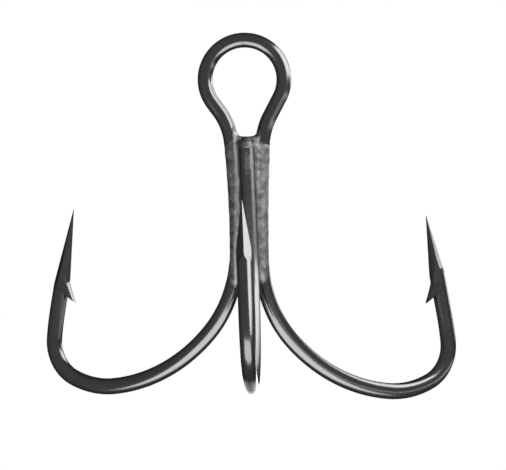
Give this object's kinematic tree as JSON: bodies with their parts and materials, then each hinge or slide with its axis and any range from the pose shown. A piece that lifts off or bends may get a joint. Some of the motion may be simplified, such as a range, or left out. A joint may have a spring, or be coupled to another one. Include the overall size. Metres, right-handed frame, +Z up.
{
  "type": "treble hook",
  "caption": "Treble hook with a teardrop eye: a double hook bent from one wire, with a single hook brazed along its shank and a barbed point on each arm.",
  "frame": {"origin": "centre of the eye, on the wire's centreline plane", "axes": "+Z up the shank towards the eye, +X to the right across the eye, -Y forward along the single hook; the eye lies in the XZ plane and a split ring passes through it along Y"},
  "size_m": [0.0392, 0.0329, 0.0345],
  "materials": {
    "plated_wire": "glossy black-nickel plate on forged steel wire",
    "plated_braze": "rough mottled braze under the same dark plate"
  },
  "bodies": {
    "root": {"double_hook": "plated_wire", "single_hook": "plated_wire", "braze_left_seam": "plated_braze", "braze_right_seam": "plated_braze", "braze_rear_web": "plated_braze", "braze_eye_bridge": "plated_braze"}
  },
  "joints": []
}
